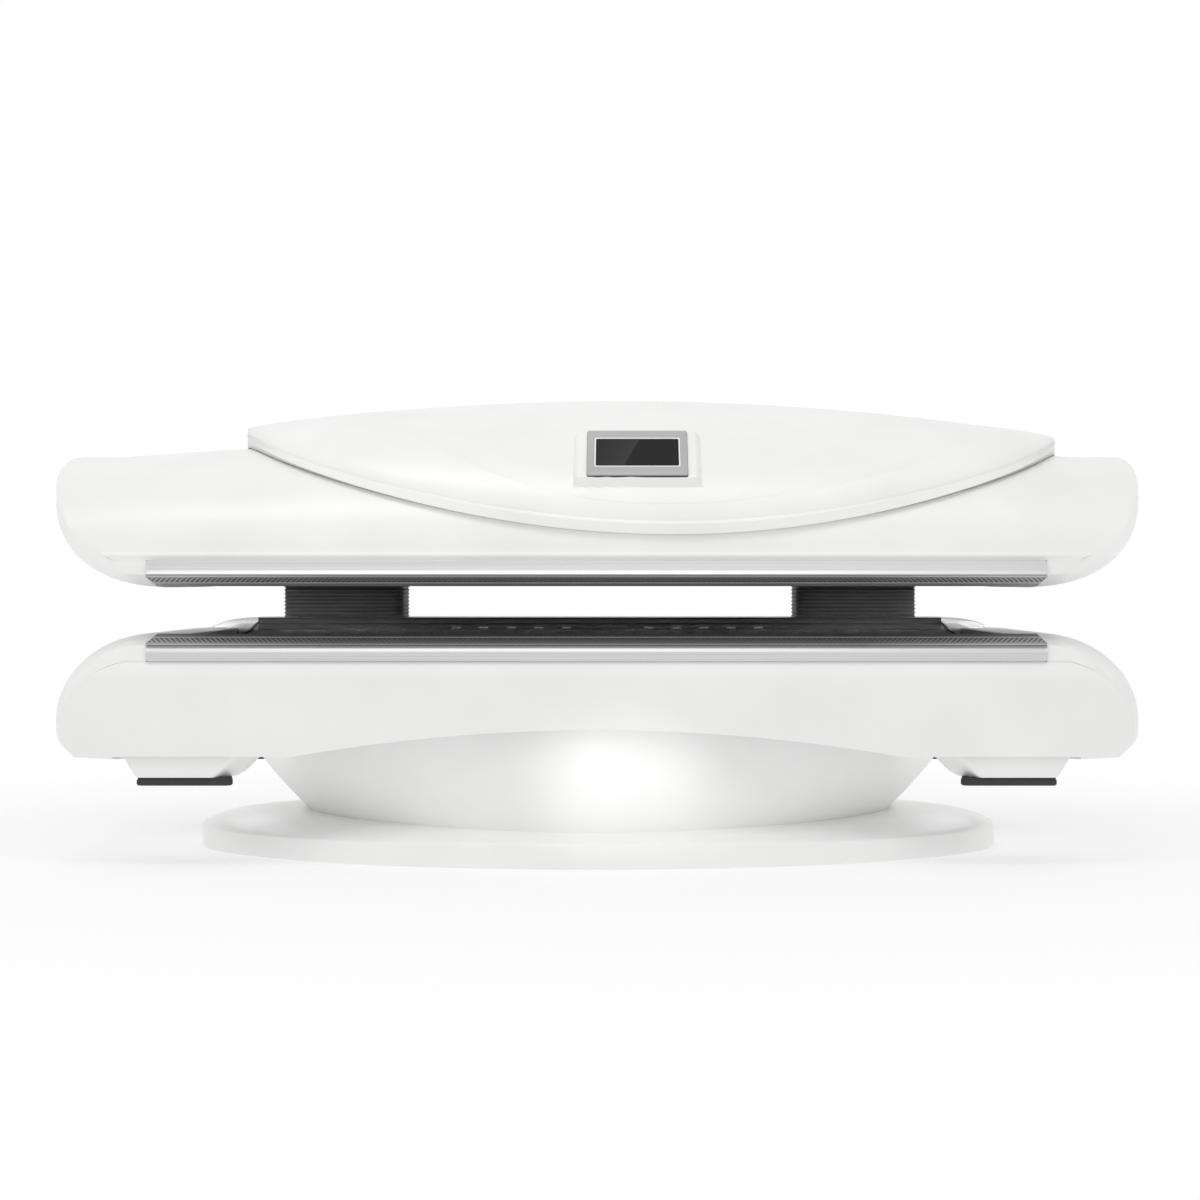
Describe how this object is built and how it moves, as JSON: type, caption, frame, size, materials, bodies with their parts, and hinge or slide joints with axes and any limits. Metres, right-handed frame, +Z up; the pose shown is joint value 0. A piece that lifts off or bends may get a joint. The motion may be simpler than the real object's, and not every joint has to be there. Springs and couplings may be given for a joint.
{
  "type": "red light therapy bed",
  "caption": "Closed clamshell lamp bed: white tub on a waisted pedestal and oval foot, with a hooded canopy that lifts straight up on two pleated rear columns.",
  "frame": {"origin": "on the floor, under the middle of the whole bed", "axes": "+X along the bed to the right seen from the front, -Y to the front with the display, +Z up"},
  "size_m": [1.9218, 0.86, 0.8278],
  "materials": {
    "white_abs": "smooth moulded white, satin gloss",
    "grey_abs": "light grey moulded, satin",
    "bright_aluminium": "bright drawn trim",
    "dark_lip": "dark grey ribbed extrusion",
    "black_rubber": "matt black",
    "clear_acrylic": "clear polished sheet",
    "lamp_tray": "sheet under black lamp boards",
    "painted_steel": "grey powder coat",
    "column_steel": "drawn steel",
    "black_plastic": "black moulded",
    "bezel_grey": "mid grey satin",
    "screen_glass": "dark glossy touch panel",
    "circuit_board": "green board"
  },
  "bodies": {
    "base": {"base_disc": "white_abs", "pedestal_shell": "white_abs", "pedestal_post_left": "painted_steel", "pedestal_post_right": "painted_steel", "bed_rail_front": "painted_steel", "bed_rail_rear": "painted_steel", "tub_floor_pan": "painted_steel", "tub_front_skirt": "white_abs", "tub_rear_skirt": "white_abs", "tub_end_left": "white_abs", "tub_end_right": "white_abs", "leg_front_left": "white_abs", "leg_front_right": "white_abs", "leg_rear_left": "white_abs", "leg_rear_right": "white_abs", "foot_pad_front_left": "black_rubber", "foot_pad_front_right": "black_rubber", "foot_pad_rear_left": "black_rubber", "foot_pad_rear_right": "black_rubber", "power_supply": "column_steel", "fan_frame": "black_plastic", "lift_motor_left": "black_plastic", "lift_motor_right": "black_plastic", "lower_front_trim": "bright_aluminium", "lower_front_lip": "dark_lip", "lower_front_ledge": "white_abs", "lower_acrylic": "clear_acrylic", "lower_lamp_tray": "lamp_tray", "lower_end_block_left": "grey_abs", "lower_end_block_right": "grey_abs", "rear_housing": "white_abs", "lower_rear_rail": "dark_lip", "column_outer_left": "column_steel", "column_outer_right": "column_steel", "bellows_left": "black_rubber", "bellows_right": "black_rubber", "power_inlet": "black_plastic"},
    "column_stage": {"column_middle_left": "column_steel", "column_middle_right": "column_steel"},
    "canopy": {"canopy_shell": "white_abs", "canopy_end_left": "white_abs", "canopy_end_right": "white_abs", "canopy_front_trim": "bright_aluminium", "canopy_front_lip": "dark_lip", "canopy_front_ledge": "white_abs", "canopy_acrylic": "clear_acrylic", "canopy_lamp_tray": "lamp_tray", "canopy_end_block_left": "grey_abs", "canopy_end_block_right": "grey_abs", "canopy_rear_sill": "white_abs", "canopy_beam": "painted_steel", "canopy_hood": "white_abs", "display_bezel": "bezel_grey", "display_screen": "screen_glass", "control_board": "circuit_board", "column_inner_left": "column_steel", "column_inner_right": "column_steel"},
    "fan_wheel": {"fan_rotor": "black_plastic"},
    "mains_rocker": {"mains_switch": "black_plastic"}
  },
  "joints": [
    {"name": "canopy_lift", "type": "slide", "parent": "base", "child": "canopy", "axis": [0, 0, 1], "range_m": [0, 0.26], "deforming": ["bellows_left", "bellows_right"]},
    {"name": "column_stage_lift", "type": "slide", "parent": "base", "child": "column_stage", "axis": [0, 0, 1], "range_m": [0, 0.13]},
    {"name": "fan_spin", "type": "hinge", "parent": "base", "child": "fan_wheel", "pos_m": [-0.2, -0.22, 0.257], "axis": [0, 0, 1], "continuous": true},
    {"name": "mains_switch_tip", "type": "hinge", "parent": "base", "child": "mains_rocker", "pos_m": [-0.582, 0.42, 0.268], "axis": [1, 0, 0], "range_deg": [-8, 8]}
  ],
  "couplings": [
    {"joint": "column_stage_lift", "follows": "canopy_lift", "ratio": 0.5}
  ]
}
